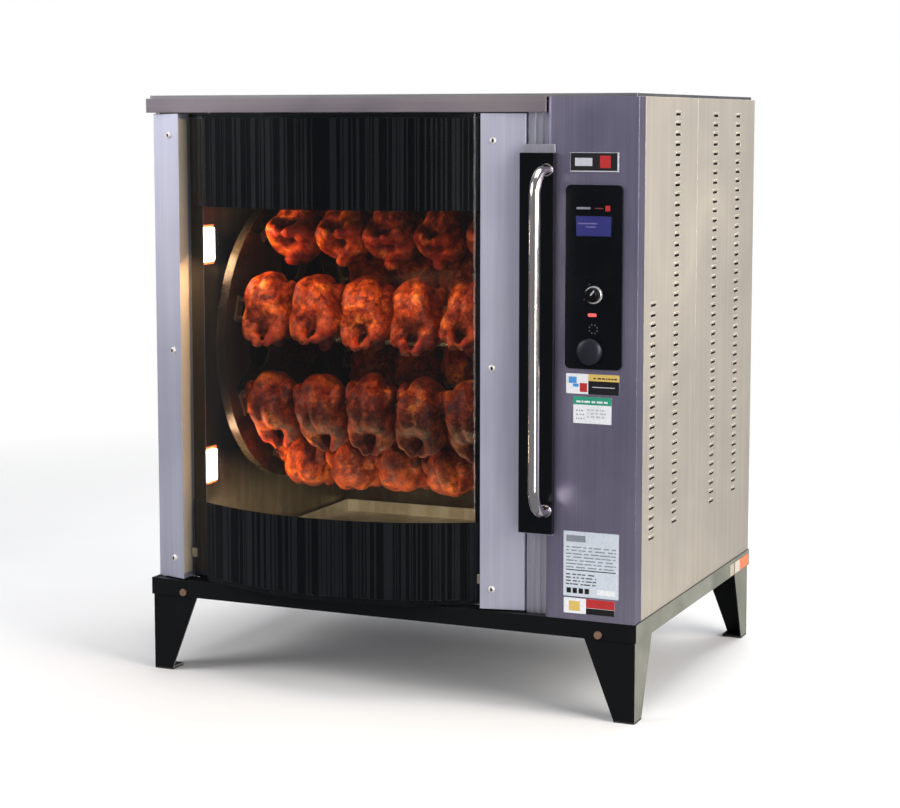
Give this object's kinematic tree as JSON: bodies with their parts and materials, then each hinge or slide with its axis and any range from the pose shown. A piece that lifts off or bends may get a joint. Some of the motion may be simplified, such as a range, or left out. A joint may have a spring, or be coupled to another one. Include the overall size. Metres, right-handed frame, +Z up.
{
  "type": "rotisserie oven",
  "caption": "Countertop rotisserie oven on legs, with a curved glass door, a turning rack of loaded spits and a side control column.",
  "frame": {"origin": "on the floor below the middle of the whole object's box", "axes": "+Z up, the front with its curved door faces -Y, +X to the right seen from the front"},
  "size_m": [1.007, 0.8491, 1.128],
  "materials": {
    "base_black": "satin black powder coat",
    "foot_rubber": "matte",
    "fastener_steel": "bright",
    "casing_steel": "brushed stainless",
    "front_steel": "brushed stainless",
    "cavity_steel": "bright stainless, heat tinted",
    "fascia_black": "gloss black",
    "display_glass": "backlit display window",
    "indicator_red": "translucent red lens",
    "label_film": null,
    "board_green": "circuit board",
    "knob_black": "satin black",
    "motor_paint": "grey paint",
    "heater_steel": "heat-browned tube",
    "lamp_glass": "frosted lamp cover",
    "bearing_iron": "machined",
    "rotor_steel": "polished stainless",
    "roast_chicken": "glossy roasted skin",
    "door_glass": "clear with printed black bands",
    "seal_rubber": "matte",
    "catch_plastic": "matte",
    "handle_chrome": "polished",
    "gland_plastic": "matte"
  },
  "bodies": {
    "cabinet": {"base_rail_front": "base_black", "base_rail_left": "base_black", "base_rail_rear": "base_black", "base_rail_right": "base_black", "bottom_panel": "casing_steel", "cable_gland": "gland_plastic", "cavity_floor": "cavity_steel", "cavity_lamps": "lamp_glass", "cavity_left_wall": "cavity_steel", "cavity_rear_wall": "cavity_steel", "cavity_right_wall": "cavity_steel", "cavity_roof": "cavity_steel", "column_panel": "front_steel", "control_board": "board_green", "control_fascia": "fascia_black", "display_window": "display_glass", "door_catch": "catch_plastic", "drip_tray": "cavity_steel", "drive_motor": "motor_paint", "earth_tag": "label_film", "fan_guard": "cavity_steel", "fan_motor": "motor_paint", "foot_pads": "foot_rubber", "front_frame": "cavity_steel", "front_stile": "front_steel", "hinge_pins": "fastener_steel", "indicator_lamp": "indicator_red", "label_plates": "label_film", "leg_bolts": "fastener_steel", "leg_front_left": "base_black", "leg_front_right": "base_black", "leg_rear_left": "base_black", "leg_rear_right": "base_black", "rear_panel": "casing_steel", "ring_heater": "heater_steel", "rotor_bearings": "bearing_iron", "side_panel_left": "casing_steel", "side_panel_right": "casing_steel", "top_cover": "casing_steel", "top_rail": "front_steel"},
    "door": {"door_post_left": "front_steel", "door_post_right": "front_steel", "door_caps": "fascia_black", "door_glass_outer": "door_glass", "door_glass_inner": "door_glass", "door_seal": "seal_rubber", "door_hinge_blocks": "fastener_steel", "post_screws": "fastener_steel", "handle_plate": "fascia_black", "handle_liner": "front_steel", "door_handle": "handle_chrome"},
    "rotor": {"rotor_shaft": "rotor_steel", "rotor_disc_left": "rotor_steel", "rotor_disc_right": "rotor_steel", "spits": "rotor_steel", "chickens": "roast_chicken"},
    "fan": {"fan_wheel": "cavity_steel"},
    "selector": {"selector_knob": "knob_black"},
    "button": {"rotor_button": "knob_black"}
  },
  "joints": [
    {"name": "door_swing", "type": "hinge", "parent": "cabinet", "child": "door", "pos_m": [-0.486, -0.3185, 0.64], "axis": [0, 0, -1], "range_deg": [0, 110]},
    {"name": "rotor_spin", "type": "hinge", "parent": "cabinet", "child": "rotor", "pos_m": [0, 0.0395, 0.635], "axis": [1, 0, 0], "continuous": true},
    {"name": "fan_spin", "type": "hinge", "parent": "cabinet", "child": "fan", "pos_m": [-0.11, 0.2715, 0.985], "axis": [0, 0, 1], "continuous": true},
    {"name": "selector_turn", "type": "hinge", "parent": "cabinet", "child": "selector", "pos_m": [0.42, -0.3405, 0.773], "axis": [0, 1, 0], "range_deg": [0, 270]},
    {"name": "rotor_button_press", "type": "slide", "parent": "cabinet", "child": "button", "axis": [0, 1, 0], "range_m": [0, 0.004], "stiffness_N_per_m": 400}
  ]
}
